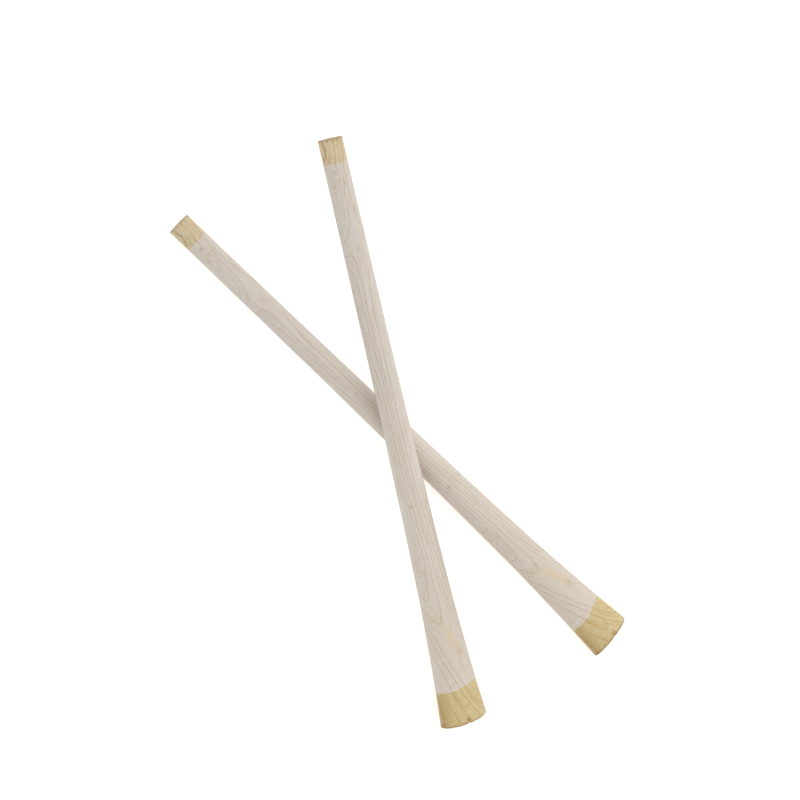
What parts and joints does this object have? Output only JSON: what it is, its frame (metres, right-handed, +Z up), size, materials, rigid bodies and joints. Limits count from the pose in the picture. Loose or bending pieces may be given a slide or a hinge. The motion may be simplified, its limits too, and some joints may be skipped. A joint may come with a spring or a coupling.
{
  "type": "claves",
  "caption": "Claves: slender solid hardwood percussion sticks, tapered with a flared head, pale washed shaft and bare wood ends, laid crossed.",
  "frame": {"origin": "centre of the pair's footprint, on the surface that it lies on", "axes": "+Z up; +Y halves the angle between the sticks and points to their narrow ends; +X to the head of the lower stick"},
  "size_m": [0.143, 0.3912, 0.0549],
  "materials": {
    "washed_wood": "thin matt off-white wash with the grain showing, bare yellow-brown wood at both ends"
  },
  "bodies": {
    "struck_stick": {"struck_stick": "washed_wood"},
    "striking_stick": {"striking_stick": "washed_wood"}
  },
  "joints": [
    {"name": "lift", "type": "slide", "parent": "struck_stick", "child": "striking_stick", "axis": [0, 0, 1], "range_m": [0, 0.2]}
  ]
}
